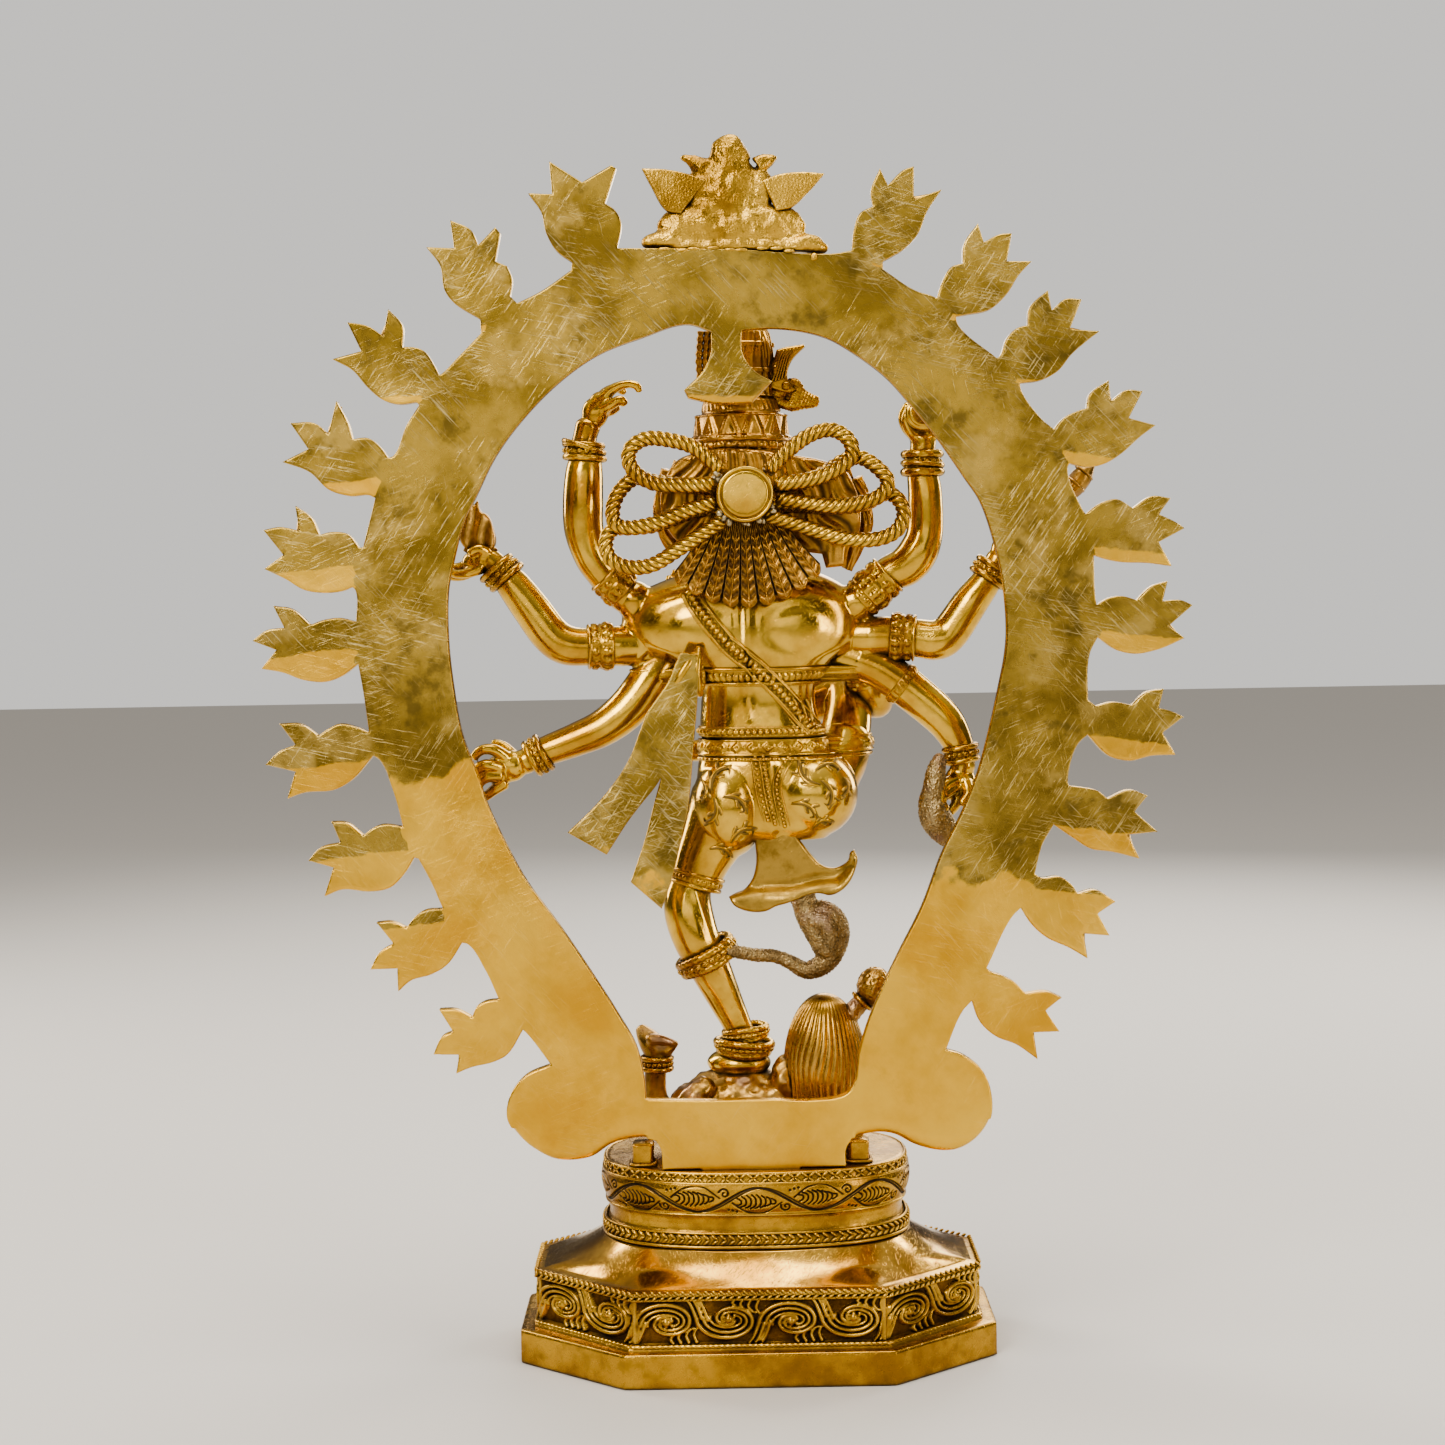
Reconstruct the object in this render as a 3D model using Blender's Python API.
"""Brass dancing-figure statue with a flame arch: an assembly of cast, cut and bent brass pieces.

Frame: origin on the ground at the middle of the object's footprint box, +Z up, +Y toward the side the
figure faces, -Y toward the flat back of the arch plate.  "Left" is -X and "right" is +X.
The pieces are built in millimetres round the centre of the base, scaled once, and moved to that
origin at the end.
"""
import math

import bmesh
import bpy
from mathutils import Matrix, Vector

MM = 0.001

# ---- driving dimensions, millimetres ---------------------------------------------------------
GAP = 0.35                          # clearance between neighbouring pieces
PLATE_BACK, PLATE_FRONT = -36.0, -30.0
PLINTH_Z, DRUM_Z, SLOPE_Z = 13.6, 35.5, 48.0    # tops of the base's three stages
COLLAR_Z = 79.0                     # top of the pedestal
WALL = 3.0
TONGUE_Z = 60.0                     # foot of the arch's tongue, inside the pedestal
TONGUE_LEFT, TONGUE_RIGHT = -22.0, 18.0
TONGUE_CHAMFER = 1.5
SLOT_PLAY = 0.4                     # side clearance of the tongue in its slot
STUD_Y = 5.0
ROPE_RADIUS = 2.45

# The design is one elevation drawn in millimetres on the plane of the arch's back face.  The drawing
# leans, and a piece in front of that plane follows the sight lines from the station point.
STATION_X, STATION_Y, STATION_Z = -10.4, -1036.0, 312.6
LEAN = math.radians(1.0)            # turns the top of the drawing toward +X
LEAN_Z = 258.0                      # height of the turning point, which lies at STATION_X

bpy_objects = bpy.data.objects
for old in list(bpy_objects):
    bpy.data.objects.remove(old, do_unlink=True)
parts = bpy.data.collections.new("brass_nataraja_statue")
cutters = bpy.data.collections.new("cutters")
bpy.context.scene.collection.children.link(parts)
bpy.context.scene.collection.children.link(cutters)


# ---- elevation drawing -----------------------------------------------------------------------
def place(x, y, z):
    """The true position of drawn point (x, z) for a piece that lies at depth y."""
    enlargement = (y - STATION_Y) / (PLATE_BACK - STATION_Y)
    across, up = x - STATION_X, z - LEAN_Z
    cosine, sine = math.cos(LEAN), math.sin(LEAN)
    leaned_x = across * cosine + up * sine
    leaned_z = LEAN_Z - across * sine + up * cosine
    return Vector((STATION_X + leaned_x * enlargement, y,
                   STATION_Z + (leaned_z - STATION_Z) * enlargement))


def outline_at(points, y):
    """True (x, z) outline of drawn points at depth y."""
    return [(point.x, point.z) for point in (place(x, y, z) for x, z in points)]


# ---- materials -------------------------------------------------------------------------------
# tone: base colour, roughness
TONES = {
    "gold": ((0.72, 0.47, 0.14), 0.22),
    "deep": ((0.55, 0.34, 0.10), 0.30),
    "olive": ((0.42, 0.33, 0.12), 0.35),
    "rose": ((0.52, 0.36, 0.20), 0.5),
}


def brass(name, tone):
    colour, roughness = TONES[tone]
    material = bpy.data.materials.new(name)
    material.use_nodes = True
    shader = material.node_tree.nodes["Principled BSDF"]
    shader.inputs["Base Color"].default_value = (*colour, 1.0)
    shader.inputs["Roughness"].default_value = roughness
    shader.inputs["Metallic"].default_value = 1.0
    return material


# ---- shapes, as bmeshes in millimetres -------------------------------------------------------
def loft(rings):
    """A closed skin through rings that all have the same number of points."""
    bm = bmesh.new()
    rows = [[bm.verts.new(point) for point in ring] for ring in rings]
    count = len(rows[0])
    for lower, upper in zip(rows, rows[1:]):
        for i in range(count):
            j = (i + 1) % count
            bm.faces.new((lower[i], lower[j], upper[j], upper[i]))
    bm.faces.new(rows[0])
    bm.faces.new(rows[-1])
    return bm


def turns(count):
    """Angles of equal steps round a full turn."""
    return [2 * math.pi * i / count for i in range(count)]


def oval(x, y, z, half_width, half_depth, count=24, exponent=2.0):
    """A level superellipse ring."""
    def bulge(value):
        return math.copysign(abs(value) ** (2 / exponent), value)

    return [Vector((x + half_width * bulge(math.cos(angle)),
                    y + half_depth * bulge(math.sin(angle)), z)) for angle in turns(count)]


def octagon(near_x, far_y, far_x, near_y, z, cuts=3):
    """A level elongated octagon ring with corners (near_x, far_y) and (far_x, near_y)."""
    corners = [(far_x, -near_y), (far_x, near_y), (near_x, far_y), (-near_x, far_y),
               (-far_x, near_y), (-far_x, -near_y), (-near_x, -far_y), (near_x, -far_y)]
    ring = []
    for i in range(8):
        start, end = corners[i], corners[(i + 1) % 8]
        for j in range(cuts):
            part = j / cuts
            ring.append(Vector((start[0] + (end[0] - start[0]) * part,
                                start[1] + (end[1] - start[1]) * part, z)))
    return ring


def ball(centre, radii, segments=16, rings=10, turn=None):
    """An ellipsoid."""
    bm = bmesh.new()
    bmesh.ops.create_uvsphere(bm, u_segments=segments, v_segments=rings, radius=1.0)
    matrix = (Matrix.Translation(centre) @ (turn or Matrix.Identity(4))
              @ Matrix.Diagonal((*radii, 1.0)))
    bmesh.ops.transform(bm, matrix=matrix, verts=bm.verts[:])
    return bm


def rod(start, end, radius, segments=20):
    """A cylinder from start to end."""
    start, end = Vector(start), Vector(end)
    bm = bmesh.new()
    bmesh.ops.create_cone(bm, cap_ends=True, segments=segments, radius1=radius, radius2=radius,
                          depth=(end - start).length)
    turn = (end - start).to_track_quat("Z", "Y").to_matrix().to_4x4()
    bmesh.ops.transform(bm, matrix=Matrix.Translation((start + end) / 2) @ turn, verts=bm.verts[:])
    return bm


def stud_rod(bottom, top, radius, segments=20):
    """A cylinder on the stud's axis."""
    return rod((0, STUD_Y, bottom), (0, STUD_Y, top), radius, segments)


def block(low, high):
    """A box between two opposite corners."""
    bm = bmesh.new()
    bmesh.ops.create_cube(bm, size=1.0)
    low, high = Vector(low), Vector(high)
    matrix = Matrix.Translation((low + high) / 2) @ Matrix.Diagonal((*(high - low), 1.0))
    bmesh.ops.transform(bm, matrix=matrix, verts=bm.verts[:])
    return bm


def link_helper(name, data):
    helper = bpy.data.objects.new(name, data)
    cutters.objects.link(helper)
    helper.hide_render = True
    return helper


def evaluated_mesh(ob):
    """A new mesh of the object with its modifiers applied."""
    depsgraph = bpy.context.evaluated_depsgraph_get()
    depsgraph.update()
    return bpy.data.meshes.new_from_object(ob.evaluated_get(depsgraph))


def curve_shape(curve):
    """The welded skin of a curve."""
    guide = link_helper("guide", curve)
    mesh = evaluated_mesh(guide)
    bm = bmesh.new()
    bm.from_mesh(mesh)
    bpy.data.objects.remove(guide, do_unlink=True)
    bpy.data.meshes.remove(mesh)
    bmesh.ops.remove_doubles(bm, verts=bm.verts[:], dist=0.002)
    bmesh.ops.recalc_face_normals(bm, faces=bm.faces[:])
    return bm


def tube(points, radii, closed=False, resolution=2):
    """A round bar along true points, with a radius at each one."""
    curve = bpy.data.curves.new("bar", "CURVE")
    curve.dimensions = "3D"
    curve.bevel_depth = 1.0
    curve.bevel_resolution = resolution
    curve.use_fill_caps = not closed
    spline = curve.splines.new("POLY")
    spline.points.add(len(points) - 1)
    for spline_point, position, radius in zip(spline.points, points, radii):
        spline_point.co = (*position, 1.0)
        spline_point.radius = radius
    spline.use_cyclic_u = closed
    return curve_shape(curve)


def limb(stations):
    """A round bar through drawn stations (x, depth y, z, radius)."""
    return tube([place(x, y, z) for x, y, z, radius in stations],
                [radius for *_, radius in stations])


def torus(centre, axis, major, minor, count=24):
    """A closed ring bar around an axis."""
    turn = Vector(axis).to_track_quat("Z", "Y").to_matrix()
    points = [Vector(centre) + turn @ Vector((major * math.cos(angle), major * math.sin(angle), 0))
              for angle in turns(count)]
    return tube(points, [minor] * count, closed=True, resolution=1)


def plate(loops, back, front):
    """A flat cut plate from closed true (x, z) outlines, between two depths."""
    curve = bpy.data.curves.new("outline", "CURVE")
    curve.dimensions = "2D"
    curve.fill_mode = "BOTH"
    curve.extrude = (front - back) / 2
    for loop in loops:
        spline = curve.splines.new("POLY")
        spline.points.add(len(loop) - 1)
        for spline_point, (x, z) in zip(spline.points, loop):
            spline_point.co = (x, z, 0.0, 1.0)
        spline.use_cyclic_u = True
    bm = curve_shape(curve)
    upright = Matrix.Translation((0, (back + front) / 2, 0)) @ Matrix.Rotation(math.pi / 2, 4, "X")
    bmesh.ops.transform(bm, matrix=upright, verts=bm.verts[:])
    return bm


def drawn_plate(points, back, front):
    """A flat cut plate from one drawn (x, z) outline."""
    return plate([outline_at(points, (back + front) / 2)], back, front)


# ---- pieces and cuts -------------------------------------------------------------------------
def mesh_from(name, bm):
    """A mesh in metres from a shape in millimetres, which is used up."""
    bmesh.ops.recalc_face_normals(bm, faces=bm.faces[:])
    mesh = bpy.data.meshes.new(name)
    bm.to_mesh(mesh)
    bm.free()
    mesh.transform(Matrix.Scale(MM, 4))
    return mesh


def add(name, bm, tone="gold"):
    """A named piece from a shape."""
    mesh = mesh_from(name, bm)
    piece = bpy.data.objects.new(name, mesh)
    parts.objects.link(piece)
    mesh.materials.append(brass(name + "_brass", tone))
    return piece


def connected_bodies(bm):
    """The sets of vertices joined by edges."""
    unvisited, bodies = set(bm.verts), []
    while unvisited:
        seed = unvisited.pop()
        body, pending = {seed}, [seed]
        while pending:
            vert = pending.pop()
            for edge in vert.link_edges:
                other = edge.other_vert(vert)
                if other in unvisited:
                    unvisited.discard(other)
                    body.add(other)
                    pending.append(other)
        bodies.append(body)
    return bodies


def box_volume(body):
    sides = [max(vert.co[i] for vert in body) - min(vert.co[i] for vert in body)
             for i in range(3)]
    return sides[0] * sides[1] * sides[2]


def boolean(piece, tool, operation):
    """Apply a boolean to the piece, weld it and keep its largest body; the tool is removed."""
    modifier = piece.modifiers.new("cut", "BOOLEAN")
    modifier.operation = operation
    modifier.solver = "EXACT"
    modifier.object = tool
    mesh = evaluated_mesh(piece)
    if not mesh.vertices:
        # guards against an empty result where the skins cross themselves
        modifier.use_self = True
        bpy.data.meshes.remove(mesh)
        mesh = evaluated_mesh(piece)
    piece.modifiers.remove(modifier)
    old_mesh = piece.data
    piece.data = mesh
    bpy.data.meshes.remove(old_mesh)

    bm = bmesh.new()
    bm.from_mesh(mesh)
    bmesh.ops.remove_doubles(bm, verts=bm.verts[:], dist=2e-6)
    bmesh.ops.dissolve_degenerate(bm, edges=bm.edges[:], dist=2e-6)
    # a trimmed tip may leave a crumb behind the neighbour
    bodies = connected_bodies(bm)
    if len(bodies) > 1:
        largest = max(bodies, key=box_volume)
        crumbs = [vert for vert in bm.verts if vert not in largest]
        bmesh.ops.delete(bm, geom=crumbs, context="VERTS")
    bm.to_mesh(mesh)
    bm.free()

    tool_mesh = tool.data
    bpy.data.objects.remove(tool, do_unlink=True)
    bpy.data.meshes.remove(tool_mesh)


def merge(piece, *shapes):
    """Weld more shapes onto a piece."""
    for shape in shapes:
        boolean(piece, link_helper("tool", mesh_from("tool", shape)), "UNION")
    return piece


def carve(piece, *shapes):
    """Cut shapes out of a piece."""
    for shape in shapes:
        boolean(piece, link_helper("tool", mesh_from("tool", shape)), "DIFFERENCE")
    return piece


def fit(piece, *neighbours):
    """Trim a piece back from its neighbours so that a thin gap is left all round."""
    for neighbour in neighbours:
        bm = bmesh.new()
        bm.from_mesh(neighbour.data)
        bmesh.ops.triangulate(bm, faces=bm.faces[:])
        bm.normal_update()
        # offsets are all taken before any vertex moves; 1.6 limits them at sharp corners
        offsets = {vert: vert.normal * GAP * MM * min(vert.calc_shell_factor(), 1.6)
                   for vert in bm.verts}
        for vert, offset in offsets.items():
            vert.co += offset
        mesh = bpy.data.meshes.new("tool")
        bm.to_mesh(mesh)
        bm.free()
        boolean(piece, link_helper("tool", mesh), "DIFFERENCE")


# ---- base ------------------------------------------------------------------------------------
# octagon corners: near_x, far_y, far_x, near_y
PLINTH = (53.2, 62.9, 96.4, 25.7)
DRUM = (50.0, 57.0, 89.5, 20.0)
SLOPE_TOP = (34.0, 42.0, 63.0, 18.0)
SLOPE_CAVITY = (31.0, 38.0, 59.0, 16.0)
STUD_HOLE_RADIUS = 3.6


def shrink(corners, amount):
    return tuple(corner - amount for corner in corners)


base = add("octagon_base", loft([
    octagon(*PLINTH, 0),
    octagon(*PLINTH, PLINTH_Z - 0.8),
    octagon(*shrink(PLINTH, 0.8), PLINTH_Z),
    octagon(*shrink(DRUM, -1.0), PLINTH_Z + 0.8),
    octagon(*DRUM, PLINTH_Z + 1.6),
    octagon(*DRUM, DRUM_Z - 1.6),
    octagon(*shrink(DRUM, -0.8), DRUM_Z - 0.8),
    octagon(*shrink(DRUM, 1.2), DRUM_Z),
    octagon(*SLOPE_TOP, SLOPE_Z)]), "deep")
carve(base, loft([
    octagon(*shrink(DRUM, WALL + 1.0), -2.0),
    octagon(*shrink(DRUM, WALL + 1.0), DRUM_Z - WALL),
    octagon(*SLOPE_CAVITY, SLOPE_Z - WALL - 1.0)]))
carve(base, stud_rod(SLOPE_Z - 10, SLOPE_Z + 4, STUD_HOLE_RADIUS))

# ---- pedestal --------------------------------------------------------------------------------
# z, half width, half depth
COLLAR = (
    (48.3, 60.8, 39.0), (50.0, 62.2, 40.6), (53.6, 62.2, 40.6), (55.0, 60.6, 39.2),
    (58.0, 60.4, 39.0), (62.0, 61.2, 40.0), (67.0, 63.0, 42.4), (71.0, 63.6, 43.2),
    (75.0, 63.0, 42.6), (78.0, 61.6, 41.4), (COLLAR_Z, 60.6, 40.6))


def collar_ring(z, half_width, half_depth):
    return oval(0, 0, z, half_width, half_depth, count=40, exponent=2.5)


pedestal = add("lotus_pedestal", loft([collar_ring(*ring) for ring in COLLAR]), "deep")
# two lugs just in front of the arch plate
merge(pedestal, block((-50.0, -28.5, 77), (-41.0, -18.0, 88)),
      block((37.0, -28.5, 77), (46.0, -18.0, 88)))
carve(pedestal, loft([collar_ring(46, 56.0, 35.0), collar_ring(73.5, 56.0, 35.0)]))
# slot for the arch's tongue, wider below the top
slot_left, slot_right = TONGUE_LEFT - SLOT_PLAY, TONGUE_RIGHT + SLOT_PLAY
carve(pedestal, block((slot_left, PLATE_BACK - GAP, 70), (slot_right, PLATE_FRONT + GAP, 82)))
carve(pedestal, block((slot_left, PLATE_BACK - GAP, TONGUE_Z - 2),
                      (slot_right, PLATE_FRONT + 3, 76)))
carve(pedestal, stud_rod(60, 84, STUD_HOLE_RADIUS))

# ---- stud, washer and nut --------------------------------------------------------------------
FASTENER_HOLE_RADIUS = 3.3

add("figure_stud", stud_rod(36.0, 92.0, 3.0))
washer = add("stud_washer", stud_rod(41.9, 43.6, 9.0), "deep")
carve(washer, stud_rod(38, 48, FASTENER_HOLE_RADIUS))
nut = add("stud_nut", stud_rod(36.6, 41.5, 6.2, segments=6), "deep")
carve(nut, stud_rod(30, 48, FASTENER_HOLE_RADIUS))

# ---- flame arch ------------------------------------------------------------------------------
# Drawn outlines (x, z).  Each side runs from the crest down, a flame and its valley at a time.
LEFT_FLAMES = (
    (-52.6, 447.8), (-51.0, 458.2), (-53.4, 463.0), (-57.4, 465.8), (-53.0, 479.8), (-55.0, 481.0),
    (-66.6, 474.2), (-79.8, 482.6), (-78.6, 469.4), (-88.2, 469.8), (-83.0, 462.2), (-81.0, 453.8),
    (-77.0, 447.0), (-70.6, 442.2), (-71.0, 439.0), (-83.0, 430.6),

    (-92.6, 425.8), (-95.4, 428.6), (-94.6, 435.4), (-96.6, 440.6), (-101.4, 442.6),
    (-99.4, 453.8), (-101.4, 456.2), (-108.2, 449.0), (-111.0, 455.0), (-119.4, 459.0),
    (-117.8, 447.8), (-129.0, 448.2), (-123.4, 440.6), (-121.8, 431.4), (-118.6, 426.6),
    (-107.4, 419.4), (-107.0, 413.8), (-116.6, 403.8), (-123.0, 397.4),

    (-123.8, 397.0), (-125.8, 401.0), (-129.8, 406.6), (-134.2, 408.2), (-138.6, 408.2),
    (-138.6, 417.0), (-144.2, 423.4), (-146.2, 412.6), (-152.2, 416.6), (-160.6, 418.2),
    (-155.0, 406.6), (-166.6, 403.4), (-158.6, 399.0), (-152.2, 391.8), (-146.2, 387.0),
    (-140.2, 385.4), (-133.0, 386.2), (-131.8, 385.0), (-137.0, 376.6), (-142.2, 364.6),

    (-144.2, 363.8), (-147.4, 368.2), (-152.2, 371.8), (-158.6, 371.4), (-160.2, 377.4),
    (-165.0, 386.6), (-168.2, 373.4), (-173.8, 377.8), (-183.4, 377.8), (-176.2, 367.4),
    (-186.6, 362.2), (-175.8, 358.2), (-167.8, 351.0), (-159.4, 348.6), (-152.2, 349.0),
    (-149.4, 347.8), (-154.2, 328.2),

    (-155.8, 327.8), (-160.6, 333.4), (-167.0, 334.2), (-171.8, 333.0), (-175.0, 339.8),
    (-181.4, 344.6), (-179.8, 334.6), (-187.4, 336.2), (-194.2, 335.0), (-186.2, 325.0),
    (-193.8, 319.4), (-185.4, 315.4), (-177.8, 311.0), (-169.0, 309.8), (-162.6, 310.6),
    (-158.6, 312.2), (-157.4, 311.0),

    (-157.0, 298.2), (-163.8, 299.8), (-170.2, 299.0), (-175.4, 297.0), (-183.0, 303.4),
    (-190.2, 304.6), (-185.8, 295.8), (-192.6, 295.0), (-198.6, 290.6), (-189.0, 287.0),
    (-195.0, 279.4), (-186.2, 277.8), (-178.6, 275.0), (-169.0, 274.2), (-162.6, 276.6),
    (-156.2, 281.4), (-154.2, 270.2),

    (-151.8, 253.8), (-157.4, 256.2), (-163.8, 257.4), (-168.2, 255.4), (-172.2, 252.6),
    (-179.8, 257.4), (-187.8, 257.4), (-181.4, 249.0), (-187.4, 246.6), (-193.4, 241.0),
    (-181.4, 238.2), (-184.6, 227.4), (-177.8, 229.8), (-165.8, 231.0), (-158.6, 235.0),
    (-150.2, 244.6), (-147.8, 243.0), (-142.2, 230.6),

    (-138.2, 216.2), (-147.0, 217.0), (-151.4, 215.0), (-154.2, 212.6), (-161.0, 217.8),
    (-167.0, 218.2), (-163.4, 209.8), (-171.4, 207.8), (-176.2, 202.6), (-166.2, 199.8),
    (-169.8, 188.2), (-162.6, 191.0), (-151.4, 190.2), (-143.4, 191.8), (-137.4, 197.8),
    (-133.8, 203.8), (-132.2, 203.4), (-127.8, 195.4),

    (-122.2, 183.4), (-129.8, 182.6), (-133.4, 180.2), (-137.0, 175.8), (-143.4, 178.2),
    (-149.0, 177.8), (-142.2, 169.4), (-147.8, 165.8), (-151.4, 159.0), (-140.6, 159.4),
    (-140.2, 150.2), (-135.0, 154.6), (-127.0, 157.0), (-120.2, 161.4), (-114.6, 169.8),
    (-112.6, 169.4), (-105.4, 159.0),

    (-99.8, 147.0), (-105.4, 146.2), (-109.0, 143.8), (-110.6, 139.8), (-117.4, 143.0),
    (-123.8, 143.0), (-118.2, 134.2), (-122.6, 132.2), (-126.2, 125.0), (-115.8, 125.0),
    (-117.0, 117.4), (-111.4, 119.8), (-101.8, 122.2), (-96.6, 125.0), (-90.2, 135.0),
    (-88.2, 133.0))
RIGHT_FLAMES = (
    (35.4, 445.8), (41.4, 447.0), (42.2, 455.4), (44.6, 461.8), (49.8, 464.6), (49.0, 471.0),
    (52.6, 479.8), (55.8, 473.0), (61.8, 479.0), (66.2, 480.6), (66.2, 467.4), (77.4, 471.4),
    (71.4, 462.2), (67.8, 453.4), (62.6, 447.8), (53.8, 442.6), (53.8, 439.4), (66.6, 431.0),
    (73.8, 428.6),

    (75.4, 427.8), (77.8, 435.0), (81.0, 440.2), (85.8, 441.8), (86.2, 449.4), (91.8, 457.8),
    (94.2, 450.2), (100.6, 453.4), (105.4, 453.8), (103.4, 442.6), (113.4, 442.6), (108.2, 437.0),
    (103.4, 429.4), (96.6, 423.4), (87.8, 421.4), (83.0, 420.6), (83.8, 417.4), (99.4, 403.8),

    (100.6, 404.6), (103.4, 411.8), (107.4, 415.8), (111.8, 417.0), (112.6, 424.2),
    (119.8, 431.0), (121.4, 423.0), (126.6, 427.4), (133.4, 427.4), (128.6, 415.4),
    (140.6, 414.6), (135.4, 410.6), (129.4, 405.4), (123.8, 398.6), (117.0, 395.0),
    (108.6, 393.8), (109.0, 391.4), (117.0, 379.8),

    (122.2, 375.4), (126.6, 380.2), (132.6, 383.0), (135.4, 383.8), (136.6, 389.4),
    (144.2, 395.0), (145.0, 386.6), (151.0, 391.0), (157.8, 390.6), (152.2, 379.8),
    (163.0, 377.0), (156.6, 372.2), (149.0, 365.4), (142.2, 361.4), (135.4, 360.2),
    (128.6, 361.8), (127.8, 360.2), (133.4, 343.8),

    (135.0, 341.4), (141.0, 345.8), (147.4, 347.4), (153.8, 343.8), (161.4, 348.6),
    (169.0, 347.8), (164.2, 341.4), (171.0, 338.2), (174.6, 335.8), (164.2, 330.2),
    (169.4, 320.6), (160.2, 321.8), (149.4, 322.2), (143.0, 323.4), (138.2, 325.0),
    (139.0, 307.0),

    (139.4, 305.0), (144.2, 307.8), (149.4, 308.6), (155.4, 307.0), (161.4, 312.6),
    (167.8, 314.6), (165.8, 306.6), (173.0, 307.0), (177.8, 305.0), (168.2, 296.6),
    (174.6, 291.8), (164.6, 287.4), (155.0, 285.4), (147.4, 287.0), (139.8, 292.2),
    (136.6, 285.4), (135.8, 267.0),

    (139.0, 264.6), (145.4, 266.2), (153.4, 265.0), (159.4, 270.2), (166.2, 271.4),
    (164.2, 263.8), (169.0, 262.6), (174.2, 260.2), (165.8, 253.8), (171.0, 245.0),
    (161.4, 244.6), (152.6, 242.6), (144.2, 244.6), (135.8, 253.0), (131.8, 249.0),
    (127.8, 234.2),

    (128.2, 232.6), (134.6, 231.8), (139.8, 230.6), (143.8, 227.4), (152.6, 231.0),
    (159.8, 228.6), (154.6, 222.2), (163.8, 214.2), (151.8, 213.0), (156.6, 203.4),
    (145.4, 206.2), (137.0, 207.4), (129.8, 211.8), (122.2, 217.0), (117.4, 208.2),
    (114.6, 197.4),

    (117.0, 195.8), (124.6, 196.2), (129.8, 192.6), (131.8, 189.4), (138.6, 191.0),
    (147.0, 186.2), (139.8, 181.4), (144.6, 172.6), (134.2, 173.4), (135.8, 163.4),
    (128.2, 167.8), (119.4, 171.8), (113.4, 177.0), (109.0, 183.8), (105.8, 180.6),
    (95.4, 159.8),

    (96.2, 158.6), (101.4, 156.6), (106.6, 153.8), (111.0, 149.4), (119.4, 150.2),
    (125.4, 147.8), (119.0, 142.6), (124.6, 134.2), (114.2, 133.8), (115.8, 123.0),
    (107.4, 129.0), (98.6, 132.6), (92.6, 138.2), (89.4, 146.6), (85.8, 142.6))
LEFT_SCROLL = (
    (-79.0, 121.0), (-89.0, 116.6), (-95.4, 108.6), (-96.6, 99.4), (-91.4, 91.4), (-86.2, 87.0),
    (-77.0, 82.6), (-63.4, 83.4), (-54.2, 89.0), (-42.2, 91.4), (-37.0, 90.6), (-35.0, 87.0))
RIGHT_SCROLL = (
    (39.0, 87.0), (41.4, 91.4), (51.8, 93.4), (58.6, 92.6), (66.6, 88.6), (75.8, 86.2),
    (83.8, 86.6), (91.8, 91.4), (97.0, 99.4), (97.4, 108.6), (94.2, 117.8), (86.2, 124.6),
    (79.0, 127.0))
INNER = (
    (-15.0, 414.6), (-24.6, 417.4), (-43.4, 411.8), (-60.6, 405.0), (-75.8, 394.2),
    (-91.0, 378.6), (-101.4, 364.2), (-109.4, 347.8), (-113.4, 339.8), (-117.8, 323.8),
    (-120.2, 311.0), (-120.2, 290.6), (-118.2, 272.6), (-114.6, 253.0), (-108.2, 236.2),
    (-105.4, 227.4), (-96.6, 208.2), (-88.2, 193.4), (-75.4, 176.2), (-61.0, 155.0),
    (-51.8, 140.6), (-45.0, 128.6), (-41.8, 115.8), (-41.0, 107.0), (-22.6, 106.6), (10.6, 107.0),
    (23.8, 106.6), (38.6, 109.0), (42.2, 113.0), (44.6, 127.0), (47.8, 137.8), (55.0, 155.0),
    (60.6, 166.6), (69.4, 184.2), (77.4, 205.4), (85.8, 222.6), (92.2, 239.0), (97.0, 257.4),
    (100.2, 272.2), (102.6, 284.6), (103.4, 294.2), (101.8, 314.6), (98.2, 331.0), (92.6, 347.0),
    (87.0, 355.4), (76.2, 371.0), (65.4, 384.6), (55.0, 396.2), (42.2, 405.8), (32.6, 411.4),
    (23.4, 414.2), (9.8, 415.8), (-2.6, 415.0))
# strut hanging from the top of the opening, behind the crown
STRUT = (
    (-3.0, 410.6), (-2.2, 405.0), (2.6, 398.6), (9.4, 394.6), (1.4, 385.8), (-12.2, 385.4),
    (-24.2, 387.8), (-25.8, 391.0), (-17.8, 399.4), (-15.0, 406.2))
# joint with the crest
SEAM = ((-33.4, 447.8), (-3.4, 447.4), (20.6, 445.8))
TAB_CORNERS = ((-34.6, 87.0), RIGHT_SCROLL[0])
CREST = (
    (-44.6, 448.2), (-39.0, 455.4), (-35.0, 457.8), (-30.6, 461.4), (-33.0, 462.6),
    (-37.8, 470.2), (-42.6, 479.0), (-33.8, 478.6), (-25.4, 476.6), (-28.2, 484.6),
    (-19.4, 482.6), (-17.8, 487.0), (-13.4, 491.8), (-7.8, 493.4), (-1.4, 491.8), (2.6, 484.6),
    (5.4, 482.2), (12.2, 485.0), (11.0, 478.2), (20.6, 479.0), (30.2, 477.0), (23.0, 469.8),
    (17.0, 463.8), (17.8, 459.4), (21.0, 454.6), (27.4, 449.4), (33.0, 446.6), (20.6, 446.4),
    (-3.4, 448.0), (-33.4, 448.4))


def on_plate(points):
    return outline_at(points, PLATE_BACK)


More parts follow.
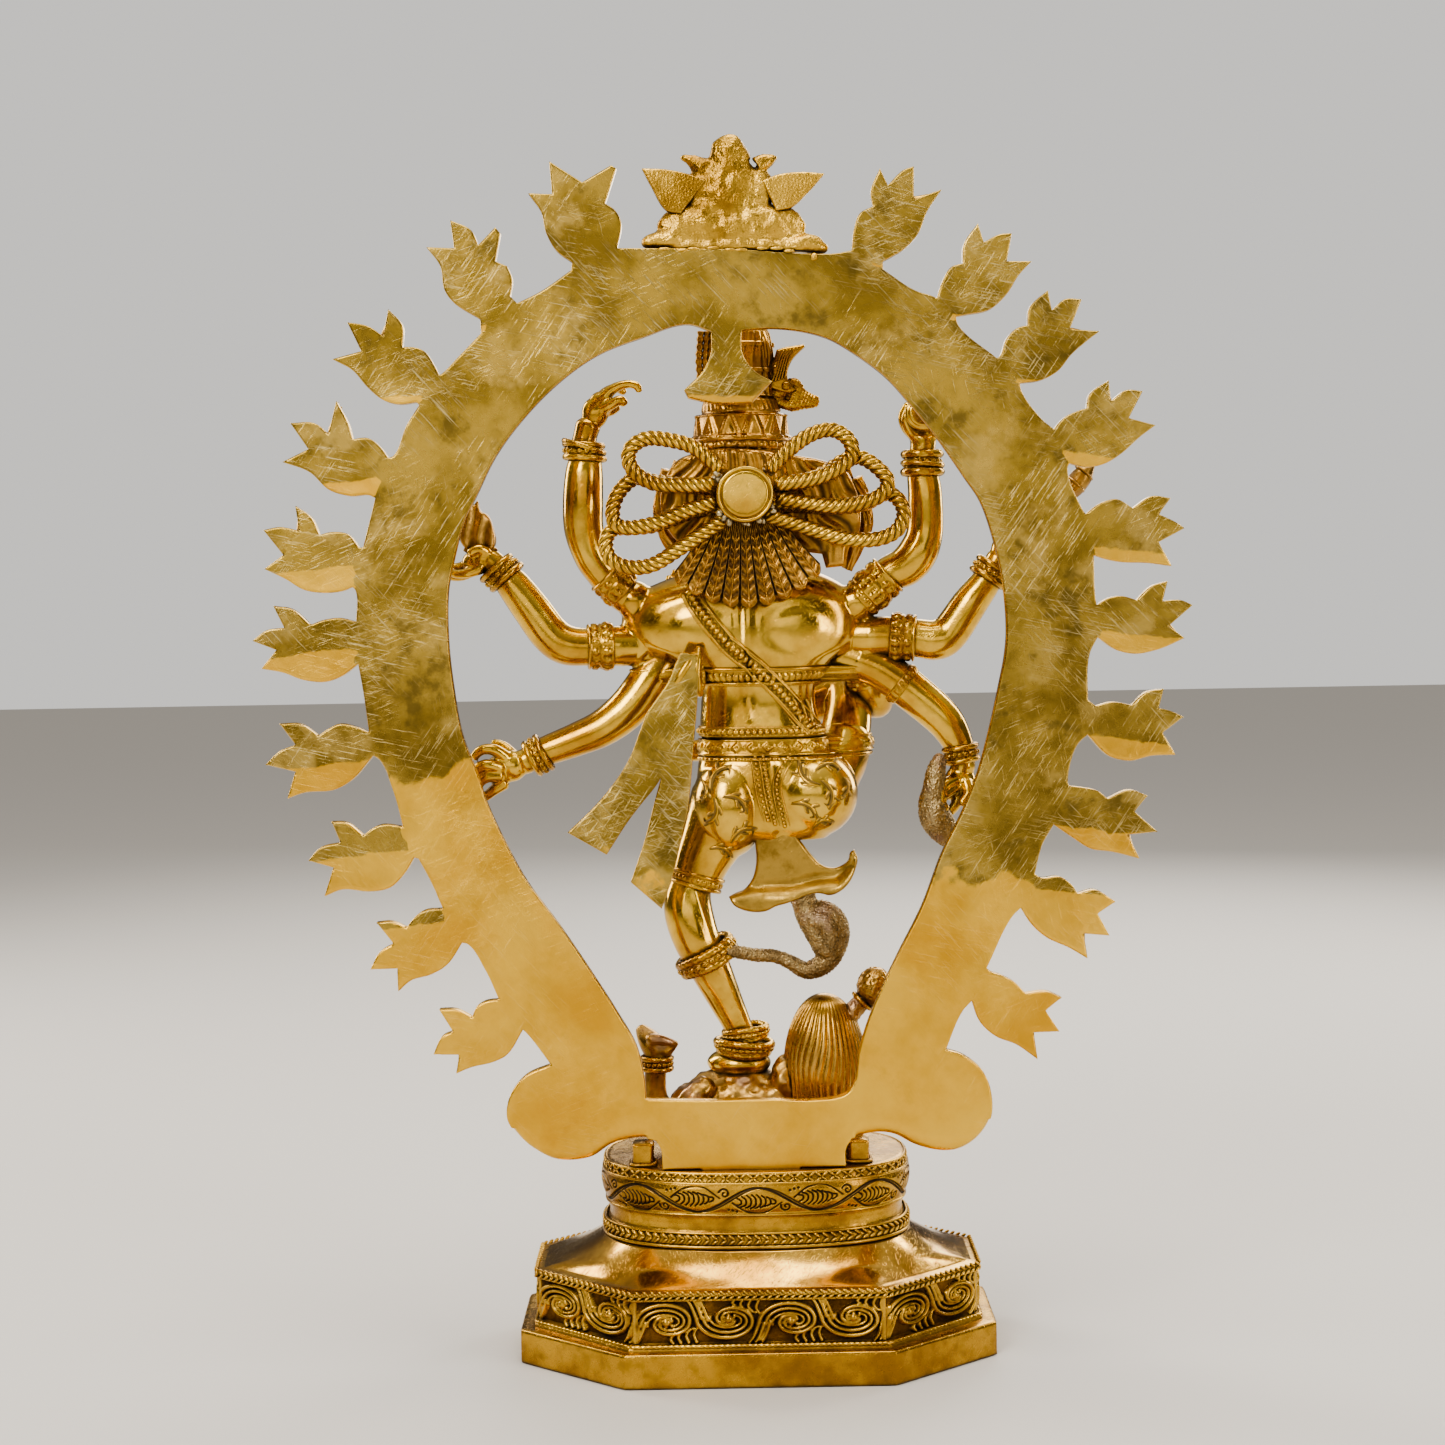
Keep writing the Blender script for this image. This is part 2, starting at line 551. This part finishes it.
def arch_outline():
    """The arch's outer edge: down the left side, round the tongue and up the right side."""
    shoulder_z = COLLAR_Z + GAP
    (left_x, _), (right_x, _) = on_plate(TAB_CORNERS)
    tongue = [(TONGUE_LEFT, shoulder_z),
              (TONGUE_LEFT, TONGUE_Z + TONGUE_CHAMFER),
              (TONGUE_LEFT + TONGUE_CHAMFER, TONGUE_Z),
              (TONGUE_RIGHT - TONGUE_CHAMFER, TONGUE_Z),
              (TONGUE_RIGHT, TONGUE_Z + TONGUE_CHAMFER),
              (TONGUE_RIGHT, shoulder_z)]
    return (on_plate(LEFT_FLAMES + LEFT_SCROLL)
            + [(left_x, shoulder_z)] + tongue + [(right_x, shoulder_z)]
            + on_plate(RIGHT_SCROLL + RIGHT_FLAMES[::-1] + SEAM[::-1]))


arch = add("arch_plate", plate([arch_outline(), on_plate(INNER + STRUT)],
                               PLATE_BACK, PLATE_FRONT))
crest = add("arch_crest", drawn_plate(CREST, PLATE_BACK - 0.5, PLATE_FRONT + 6))

# ---- dwarf under the foot --------------------------------------------------------------------
# offset along x, radius
DWARF_BODY = ((-30, 6), (-27, 11), (-18, 16), (-6, 19.5), (8, 19), (20, 16), (27, 10), (29, 5))
# x, y, z, radius
TOPKNOT_STEM = ((39.0, 3, 139.0, 4.2), (44.6, 2, 145.8, 3.6), (48.6, 2, 150.2, 4.0))
DWARF_LEG = (
    (-14.6, 16, 98.2, 7.5), (-23.4, 14, 98.2, 7.0), (-33.0, 12, 99.8, 6.4),
    (-37.0, 11, 105.4, 5.6), (-37.4, 11, 111.8, 4.6), (-37.0, 11, 119.8, 4.4),
    (-36.6, 11, 124.6, 5.6), (-37.4, 12, 128.6, 6.0), (-40.2, 14, 132.6, 4.6),
    (-43.0, 16, 135.8, 2.4))


def ground(piece):
    """Flatten the underside so that the piece stands on the pedestal."""
    return carve(piece, block((-120, -80, 20), (120, 80, COLLAR_Z + GAP)))


dwarf_head_x = place(30.6, 4, 123.0).x
dwarf_head = ground(add("dwarf_head", ball((dwarf_head_x, 4, 107.0), (17.8, 16.0, 36.0)), "deep"))
dwarf_body_x = place(-2.6, 8, 107.0).x
dwarf_body = ground(add("dwarf_body", loft([
    [Vector((dwarf_body_x + x, 9 + radius * math.cos(angle), 93 + 0.95 * radius * math.sin(angle)))
     for angle in turns(16)]
    for x, radius in DWARF_BODY]), "deep"))
topknot = add("dwarf_topknot", ball(place(50.6, 2, 152.2), (7.6, 7.6, 8.6)), "deep")
merge(topknot, limb(TOPKNOT_STEM))
dwarf_leg = ground(add("dwarf_leg", limb(DWARF_LEG), "deep"))

# ---- standing leg and its rings --------------------------------------------------------------
# x, y, z, radius
STANDING_LEG = (
    (-20.6, 4, 202.2, 7.6), (-23.0, 4, 193.4, 8.5), (-24.2, 3, 187.0, 9.6),
    (-23.8, 2, 181.0, 10.0), (-21.0, 1, 171.8, 9.6), (-17.8, 2, 165.0, 9.0),
    (-13.8, 3, 156.6, 8.2), (-8.6, 5, 145.8, 6.6), (-4.2, 6, 136.6, 5.6),
    (-2.2, 7, 131.0, 5.8), (-1.4, 8, 123.8, 6.4))

leg = add("standing_leg", limb(STANDING_LEG))
merge(leg, ball(place(-4.2, 11, 122.2), (15.0, 19.0, 6.4),
                turn=Matrix.Rotation(math.radians(-12), 4, "Z")))

calf_axis = place(-8.6, 4, 145.8) - place(-23.8, 0, 183.4) + Vector((7.0, 0, 0))
calf_ring = add("calf_ring", torus(place(-16.6, 2, 164.6), calf_axis, 12.3, 2.6))
shin_axis = place(-2.6, 7, 129.4) - place(-8.6, 5, 145.8)
anklet_upper = add("anklet_upper", torus(place(-1.0, 7, 133.8),
                                         (shin_axis.x * 0.4, 0, shin_axis.z), 9.6, 2.5))
anklet_lower = add("anklet_lower", torus(place(-1.8, 8, 128.2), (-1.2, 0, shin_axis.z), 12.0, 2.6))

# ---- hips, trunk and head --------------------------------------------------------------------
# z, left x, right x, half depth, y of the middle
HIP_SECTIONS = (
    (210.2, -2.6, 25.4, 9, 8), (214.2, -10.6, 33.4, 14, 8), (223.0, -17.8, 39.8, 17, 8),
    (233.0, -20.6, 40.6, 18.5, 9), (241.4, -20.2, 37.4, 18.5, 10), (245.8, -19.4, 31.4, 18, 11),
    (252.6, -19.4, 31.0, 17.5, 12))
TORSO_SECTIONS = (
    (253.8, -19.4, 29.8, 17.4, 12), (258.2, -19.4, 28.6, 16.8, 12), (265.8, -19.0, 26.6, 16.2, 12),
    (274.2, -19.4, 27.4, 17.0, 12), (281.4, -29.0, 33.4, 18.6, 12), (288.6, -46.6, 43.0, 20.2, 12),
    (297.4, -51.4, 45.4, 20.8, 12), (305.4, -49.0, 44.6, 20.0, 12), (311.4, -42.6, 39.0, 18.0, 12),
    (316.6, -30.6, 30.2, 15.0, 12), (321.0, -17.8, 17.4, 11.5, 13), (329.0, -10.6, 7.8, 9.2, 13),
    (335.8, -10.6, 7.8, 9.0, 13))
# x, y, z, radius
THIGH = ((-8.6, 6, 227.0, 15.5), (-13.0, 6, 215.0, 14.0), (-18.2, 5, 203.0, 11.6),
         (-21.8, 4, 193.4, 9.9))


def section(z, left_x, right_x, half_depth, y):
    left, right = place(left_x, y, z), place(right_x, y, z)
    return oval((left.x + right.x) / 2, y, (left.z + right.z) / 2,
                (right.x - left.x) / 2, half_depth, exponent=2.3)


hips = add("dhoti_hips", loft([section(*row) for row in HIP_SECTIONS]))
merge(hips, ball(place(-7.8, 6, 224.6), (15.6, 18.5, 21.5)),
      ball(place(25.8, 7, 230.2), (18.6, 19.0, 18.6)))
merge(hips, limb(THIGH))
torso = add("torso", loft([section(*row) for row in TORSO_SECTIONS]))
fit(hips, torso)
fit(leg, hips)
head = add("head", ball(place(-1.8, 14, 347.4), (17.6, 20.0, 22.8), segments=20, rings=14))
fit(head, torso)

# ---- crown and its ornaments -----------------------------------------------------------------
CROWN_X, CROWN_Y = -3.0, 14.0
# z, radius
CROWN = ((366.2, 20.4), (371.8, 20.6), (372.6, 19.0), (380.2, 18.4), (381.4, 16.2), (386.2, 15.2),
         (387.8, 13.6), (399.0, 13.6), (409.0, 12.8), (416.6, 10.0), (419.0, 4.0))
# drawn outlines, x, z
CRESCENT = (
    (6.2, 398.6), (11.0, 400.6), (14.6, 400.6), (15.4, 403.0), (11.8, 407.8), (16.6, 407.0),
    (21.8, 408.6), (18.6, 404.6), (17.8, 400.2), (19.0, 395.8), (15.8, 393.4), (6.2, 392.6))
CROWN_COBRA = (
    (6.2, 390.2), (11.8, 391.4), (15.8, 392.6), (18.2, 395.8), (20.6, 393.8), (22.2, 389.8),
    (27.8, 388.2), (27.0, 385.0), (23.8, 385.4), (20.6, 383.8), (16.6, 383.4), (12.6, 386.2),
    (6.2, 385.4))


def crown_ring(z, radius):
    centre = place(CROWN_X, CROWN_Y, z)
    return oval(centre.x, CROWN_Y, centre.z, radius, radius)


crown = add("crown", loft([crown_ring(*row) for row in CROWN]))
# pad that reaches back to the arch's strut
pad = place(-6.6, -20, 393.0)
merge(crown, block((pad.x - 7, PLATE_FRONT + GAP, pad.z - 6), (pad.x + 7, 10, pad.z + 6)))
fit(crown, head)
crescent = add("crown_crescent", drawn_plate(CRESCENT, 8, 13))
crown_cobra = add("crown_cobra", drawn_plate(CROWN_COBRA, 8, 14))
fit(crescent, crown)
fit(crown_cobra, crown, crescent)

# ---- hair: mane, fan, boss and six rope loops ------------------------------------------------
# drawn outlines, x, z
MANE = (
    (-33.8, 359.0), (-29.4, 363.8), (-19.4, 366.2), (4.6, 364.6), (20.6, 363.8), (30.6, 362.2),
    (38.6, 359.0), (43.0, 351.0), (44.6, 343.0), (43.8, 333.0), (39.0, 329.0), (38.2, 320.6),
    (31.0, 319.8), (29.4, 326.2), (20.6, 327.8), (4.6, 326.2), (-19.4, 327.8), (-29.0, 331.8),
    (-33.8, 339.0), (-35.4, 349.0))
FAN = (
    (-17.0, 336.2), (-9.8, 337.4), (-1.4, 337.8), (7.0, 337.4), (15.0, 336.2), (20.6, 329.0),
    (29.0, 317.8), (27.8, 313.0), (23.0, 312.6), (22.2, 309.4), (16.6, 309.0), (16.2, 305.8),
    (11.4, 304.2), (7.8, 306.2), (2.6, 303.8), (-1.8, 306.2), (-6.6, 304.6), (-10.6, 307.8),
    (-15.4, 307.0), (-17.4, 310.2), (-22.2, 310.2), (-23.4, 313.4), (-27.8, 313.4),
    (-27.8, 317.0), (-21.8, 327.8))
# x, y, z
HAIR_LOOPS = {
    "hair_loop_left_upper": (
        (-10.6, -23, 358.2), (-16.6, -23, 364.2), (-23.8, -23, 369.0), (-34.2, -23, 371.4),
        (-41.4, -23, 371.4), (-47.0, -23, 367.8), (-47.8, -23, 362.2), (-44.2, -23, 357.0),
        (-37.0, -23, 353.4), (-26.6, -23, 353.0), (-13.0, -23, 353.4)),
    "hair_loop_left_middle": (
        (-12.2, -17.3, 351.4), (-26.6, -17.2, 353.0), (-37.0, -17.2, 354.2),
        (-45.0, -17.4, 355.8), (-51.4, -18.5, 350.6), (-54.2, -19.5, 343.8),
        (-53.4, -20, 337.8), (-47.8, -20, 335.8), (-37.0, -20, 337.8),
        (-23.8, -20.3, 343.0), (-12.6, -20.5, 346.2)),
    "hair_loop_left_lower": (
        (-11.0, -14.2, 344.6), (-23.8, -13.6, 341.8), (-37.0, -13.8, 337.0),
        (-46.6, -14, 335.8), (-53.8, -15.5, 335.4), (-57.0, -17, 330.6),
        (-55.4, -18.2, 323.8), (-48.6, -18.6, 320.2), (-38.6, -18.6, 321.0),
        (-27.8, -18.8, 327.4), (-17.4, -19, 334.2), (-9.0, -20, 339.8)),
    "hair_loop_right_upper": (
        (7.4, -23, 358.2), (16.6, -23, 367.4), (25.4, -23, 373.4), (33.8, -23, 375.0),
        (40.2, -23, 371.0), (41.4, -23, 365.0), (37.4, -23, 360.6), (29.4, -23, 356.6),
        (21.0, -23, 354.6), (10.2, -23, 353.4)),
    "hair_loop_right_middle": (
        (9.8, -17.3, 351.8), (21.0, -17.2, 354.2), (30.2, -17.2, 357.8), (38.6, -17.2, 363.0),
        (45.4, -18, 363.8), (52.2, -19, 359.4), (55.8, -19.8, 354.2), (53.0, -20, 349.0),
        (45.0, -20, 345.8), (34.6, -20, 344.6), (23.8, -20.3, 345.8), (11.0, -20.5, 347.8)),
    "hair_loop_right_lower": (
        (7.8, -14.2, 345.0), (23.8, -13.6, 344.6), (34.6, -13.8, 344.2), (46.2, -14, 345.4),
        (54.2, -14.6, 349.4), (59.4, -16, 347.8), (62.2, -17.6, 341.8), (59.4, -18.4, 335.0),
        (51.4, -18.6, 331.4), (39.4, -18.6, 331.4), (27.4, -18.8, 334.6), (16.6, -19, 338.2),
        (6.2, -20, 341.4)),
}
BOSS_FRONT = -10.1

mane = add("hair_mane", drawn_plate(MANE, -9.7, -3.0), "deep")
fan = add("hair_fan", drawn_plate(FAN, -15.0, BOSS_FRONT), "deep")
boss_centre = place(-1.4, -29, 349.4)
boss = add("hair_boss", rod((boss_centre.x, -30.0, boss_centre.z),
                            (boss_centre.x, BOSS_FRONT, boss_centre.z), 11.4, segments=24))
fit(mane, head, boss)
fit(fan, boss, mane)
for name, path in HAIR_LOOPS.items():
    loop = add(name, limb([(*point, ROPE_RADIUS) for point in path]))
    fit(loop, boss, fan)

# ---- arms ------------------------------------------------------------------------------------
# x, y, z, radius, from shoulder to fingertips; the abrupt steps in radius are the bangles
ARMS = {
    "arm_left_upper": (
        (-39.4, 10, 304.6, 7.2), (-48.2, 8, 308.2, 7.2), (-51.4, 7, 311.0, 8.6),
        (-56.2, 6, 315.8, 8.6), (-57.8, 6, 317.4, 7.0), (-62.6, 5, 324.6, 7.4),
        (-65.8, 5, 335.0, 8.0), (-66.2, 4, 347.0, 8.2), (-65.8, 4, 357.0, 7.8),
        (-65.4, 4, 363.0, 7.4), (-66.2, 4, 363.8, 9.5), (-66.2, 4, 368.6, 9.5),
        (-65.8, 4, 371.0, 5.4), (-64.6, 4, 375.8, 5.2), (-61.8, 4, 381.4, 6.2),
        (-58.2, 4, 386.2, 5.4), (-54.6, 3, 389.8, 3.4), (-49.8, 3, 392.2, 2.6),
        (-44.6, 4, 392.6, 1.8)),
    "arm_left_middle": (
        (-43.4, 10, 288.6, 8.2), (-54.6, 7, 288.6, 8.4), (-55.0, 7, 288.6, 10.2),
        (-63.4, 6, 288.2, 10.2), (-63.8, 6, 288.2, 7.6), (-73.0, 5, 289.0, 8.0),
        (-79.4, 5, 293.4, 7.9), (-86.6, 5, 303.0, 7.6), (-93.8, 5, 312.6, 7.0),
        (-95.4, 5, 314.6, 6.8), (-96.2, 5, 315.0, 8.6), (-100.6, 5, 320.2, 8.6),
        (-101.8, 5, 321.8, 5.0), (-106.6, 5, 323.0, 6.4), (-111.4, 5, 321.4, 6.2),
        (-117.0, 5, 317.4, 4.0)),
    "arm_left_lower": (
        (-32.2, 14, 286.2, 7.6), (-38.6, 10, 276.6, 8.4), (-47.4, 8, 264.6, 8.4),
        (-57.8, 7, 256.2, 7.6), (-69.4, 7, 251.0, 6.8), (-81.0, 7, 246.6, 6.3),
        (-81.8, 7, 246.2, 8.4), (-86.6, 7, 243.4, 8.4), (-87.8, 7, 243.0, 5.2),
        (-93.4, 7, 241.4, 8.0), (-100.2, 7, 239.0, 9.0), (-106.6, 8, 236.6, 6.0)),
    "arm_right_upper": (
        (37.4, 10, 303.0, 7.2), (43.8, 8, 306.6, 7.4), (47.8, 8, 310.2, 9.8),
        (55.8, 7, 317.8, 9.8), (57.0, 7, 318.2, 7.6), (63.0, 6, 320.6, 8.2),
        (67.8, 5, 326.2, 8.0), (70.6, 5, 335.0, 7.2), (70.6, 4, 349.0, 6.8),
        (69.8, 4, 356.6, 6.8), (69.8, 4, 357.4, 9.0), (69.4, 4, 366.2, 9.0),
        (69.8, 4, 367.8, 6.4), (70.2, 4, 375.0, 7.0), (69.4, 6, 378.2, 6.2)),
    "arm_right_middle": (
        (39.8, 12, 292.6, 8.0), (55.8, 9, 292.6, 8.2), (56.6, 9, 292.6, 10.8),
        (66.2, 8, 291.8, 10.8), (67.0, 8, 291.8, 7.8), (75.0, 7, 291.0, 8.2),
        (80.6, 7, 294.2, 7.8), (88.6, 6, 305.8, 7.2), (94.6, 6, 313.8, 6.8),
        (95.0, 6, 314.6, 8.4), (99.0, 6, 322.2, 8.4), (99.8, 6, 323.4, 5.2),
        (103.0, 6, 328.6, 6.4), (107.0, 6, 335.0, 5.4), (109.4, 6, 340.6, 3.6)),
    "arm_right_lower": (
        (35.8, 14, 286.2, 7.6), (47.0, 12, 282.2, 8.0), (56.6, 11, 277.0, 8.2),
        (68.6, 10, 267.8, 8.2), (78.2, 9, 259.0, 7.6), (84.6, 8, 249.4, 6.6),
        (85.0, 8, 248.6, 8.0), (85.8, 8, 243.8, 8.0), (86.2, 8, 242.6, 5.4),
        (85.4, 8, 235.8, 7.4), (83.8, 9, 229.0, 7.2), (80.6, 10, 222.2, 5.0)),
    "arm_front_right": (
        (39.0, 24, 291.0, 7.4), (44.6, 28, 281.4, 7.6), (49.4, 33, 271.8, 7.2),
        (51.4, 38, 267.0, 6.8), (50.6, 43, 266.2, 6.6), (47.4, 48, 269.4, 6.4),
        (42.2, 52, 276.6, 6.0), (31.8, 56, 285.4, 5.6), (18.2, 59, 290.2, 5.0),
        (6.2, 60, 291.0, 4.6), (-1.8, 60, 288.6, 5.2), (-9.0, 60, 283.0, 5.0),
        (-13.0, 59, 276.6, 3.2)),
    "arm_front_left": (
        (-38.6, 24, 299.8, 7.2), (-37.0, 30, 287.8, 7.2), (-33.8, 36, 278.2, 6.6),
        (-32.2, 40, 276.6, 6.4), (-30.6, 47, 283.0, 5.8), (-29.8, 52, 291.0, 5.0),
        (-29.4, 55, 297.4, 4.6), (-29.0, 57, 303.8, 5.6), (-28.6, 58, 310.2, 5.4),
        (-28.2, 58, 316.6, 3.0)),
}
# arm to trim, arms it is trimmed back from
ARM_FITS = (
    ("arm_left_lower", ("arm_left_middle",)),
    ("arm_left_upper", ("arm_left_middle",)),
    ("arm_right_upper", ("arm_right_middle",)),
    ("arm_right_lower", ("arm_right_middle",)),
    ("arm_front_right", ("arm_right_lower", "arm_right_middle")),
    ("arm_front_left", ("arm_left_lower", "arm_left_middle")))

arms = {}
for name, stations in ARMS.items():
    arms[name] = add(name, limb(stations))
    fit(arms[name], torso)
for name, neighbours in ARM_FITS:
    fit(arms[name], *(arms[neighbour] for neighbour in neighbours))

# ---- raised leg ------------------------------------------------------------------------------
# x, y, z, radius
RAISED_LEG = (
    (31.0, 18, 231.0, 11.0), (35.8, 22, 242.2, 11.0), (39.0, 30, 255.0, 10.4),
    (39.8, 37, 264.6, 9.6), (37.4, 43, 269.4, 9.0), (29.4, 47, 267.0, 8.2),
    (16.6, 50, 260.6, 7.6), (3.8, 52, 254.2, 6.0), (-5.8, 53, 250.2, 4.8),
    (-10.6, 54, 248.6, 4.8), (-17.0, 55, 247.8, 5.6), (-25.8, 55, 247.0, 4.6),
    (-33.8, 54, 246.2, 3.0))

raised_leg = add("raised_leg", limb(RAISED_LEG))
fit(raised_leg, hips, torso)
fit(arms["arm_front_right"], raised_leg)
raised_axis = place(-10.6, 54, 248.6) - place(0.6, 52, 253.0)
raised_anklet = add("raised_anklet", torus(place(-5.0, 53, 250.6), raised_axis, 7.6, 2.0))

# ---- held attributes -------------------------------------------------------------------------
# y, radius
HAND_DRUM = ((-7, 6.8), (-5, 7.0), (3, 3.8), (11, 7.0), (13, 6.8))
# drawn outline, x, z
FLAME = (
    (-105.8, 324.6), (-110.2, 325.8), (-114.6, 329.4), (-115.8, 335.8), (-113.0, 342.2),
    (-110.6, 347.8), (-107.8, 342.2), (-104.2, 339.8), (-101.8, 334.2), (-102.6, 328.6))
# x, y, z, radius
STAFF = ((100.6, 16, 320.6, 2.2), (124.6, 16, 347.0, 2.2), (131.0, 16, 353.4, 4.4),
         (134.2, 16, 357.4, 4.2), (137.4, 16, 362.2, 1.6))
SNAKE = (
    (76.6, 0, 244.2, 2.4), (75.0, -1, 238.2, 4.0), (74.2, -1, 231.0, 4.6), (73.4, 0, 224.6, 5.4),
    (75.4, 0, 219.0, 6.4), (79.4, 1, 213.4, 5.4), (82.6, 2, 209.8, 2.4))

drum_centre = place(69.0, 0, 381.4)
drum = add("drum", loft([
    [Vector((drum_centre.x + radius * math.cos(angle), y,
             drum_centre.z + radius * math.sin(angle))) for angle in turns(20)]
    for y, radius in HAND_DRUM]), "olive")
fit(arms["arm_right_upper"], drum)
flame = add("held_flame", drawn_plate(FLAME, 2, 8), "deep")
fit(flame, arms["arm_left_middle"])
staff = add("held_staff", limb(STAFF), "deep")
fit(staff, arms["arm_right_middle"])
snake = add("held_snake", limb(SNAKE), "deep")
fit(snake, arms["arm_right_lower"])

# ---- sash, cloth end and cobra ---------------------------------------------------------------
# drawn outlines, x, z
SASH = (
    (-27.8, 285.8), (-32.2, 274.6), (-39.8, 263.4), (-47.0, 245.0), (-53.8, 233.8),
    (-62.6, 223.4), (-72.2, 214.2), (-56.6, 205.4), (-47.8, 219.0), (-37.4, 232.2),
    (-35.0, 235.8), (-37.4, 227.0), (-41.4, 211.4), (-47.0, 194.6), (-34.6, 184.2),
    (-30.2, 197.4), (-25.8, 216.6), (-23.4, 230.2), (-20.2, 270.2), (-19.8, 278.2),
    (-20.6, 285.0))
CLOTH_END = (
    (1.4, 214.2), (2.6, 208.6), (2.2, 201.0), (1.0, 193.0), (-6.6, 188.6), (-3.8, 185.0),
    (5.8, 183.0), (15.0, 186.2), (27.8, 191.4), (35.0, 190.6), (40.6, 195.4), (43.4, 204.2),
    (42.2, 207.4), (36.6, 203.8), (30.2, 201.0), (25.4, 207.0), (20.6, 212.6), (16.6, 216.6))
# x, y, z, radius
COBRA = (
    (21.4, 4, 187.4, 3.4), (23.8, 3, 185.0, 4.0), (29.4, 3, 183.8, 4.6), (33.8, 3, 179.0, 5.2),
    (35.0, 3, 172.6, 5.0), (32.6, 3, 164.6, 4.4), (27.8, 3, 159.8, 3.8), (22.2, 3, 159.0, 3.2),
    (16.6, 3, 163.0, 2.8), (10.2, 3, 165.4, 2.6), (-1.0, 2, 164.6, 2.4))
SASH_SLOPE = 0.075          # backward travel per unit of drop
SASH_FORWARD = 2.2          # forward shift of the sash's top

sash = add("sash_plate", drawn_plate(SASH, -16.0, -13.4), "olive")
sash_top = place(-23.4, -14, 285.8).z * MM
for vert in sash.data.vertices:
    vert.co.y -= (sash_top - vert.co.z) * SASH_SLOPE - SASH_FORWARD * MM
fit(sash, torso, arms["arm_left_lower"], hips, leg)
cloth_end = add("cloth_end", drawn_plate(CLOTH_END, -4.0, 1.0), "olive")
fit(cloth_end, hips, leg)
cobra = add("cobra", limb(COBRA), "rose")
fit(cobra, cloth_end)

# ---- last fits: rings, dwarf and anklet ------------------------------------------------------
fit(calf_ring, leg)
fit(cobra, calf_ring, leg)
fit(anklet_upper, leg)
fit(anklet_lower, leg, anklet_upper)
fit(dwarf_body, leg, dwarf_head)
fit(dwarf_body, anklet_lower)
fit(dwarf_leg, dwarf_body)
fit(topknot, dwarf_head)
fit(dwarf_head, leg, anklet_lower)
carve(dwarf_body, stud_rod(70, 92.6, 3.35))
fit(raised_leg, raised_anklet)


# ---- origins and the arch's slide ------------------------------------------------------------
def bounds(meshes):
    """Lowest and highest corners of the box round some meshes."""
    positions = [vert.co for mesh in meshes for vert in mesh.vertices]
    return (Vector([min(position[i] for position in positions) for i in range(3)]),
            Vector([max(position[i] for position in positions) for i in range(3)]))


pieces = list(parts.objects)
low, high = bounds([piece.data for piece in pieces])
centre = Vector(((low.x + high.x) / 2, (low.y + high.y) / 2, 0.0))
for piece in pieces:
    mesh = piece.data
    mesh.transform(Matrix.Translation(-centre))
    for polygon in mesh.polygons:
        polygon.use_smooth = True
    mesh.set_sharp_from_angle(angle=math.radians(35))
    # each piece's origin is the middle of its box
    low, high = bounds([mesh])
    middle = (low + high) / 2
    mesh.transform(Matrix.Translation(-middle))
    piece.location = middle

# the arch and its crest lift together out of the slot
slide = bpy.data.objects.new("arch_slide", None)
slide_point = Vector(((TONGUE_LEFT + TONGUE_RIGHT) / 2, (PLATE_BACK + PLATE_FRONT) / 2, COLLAR_Z))
slide.location = slide_point * MM - centre
parts.objects.link(slide)
for piece in (arch, crest):
    piece.location = piece.location - slide.location
    piece.parent = slide
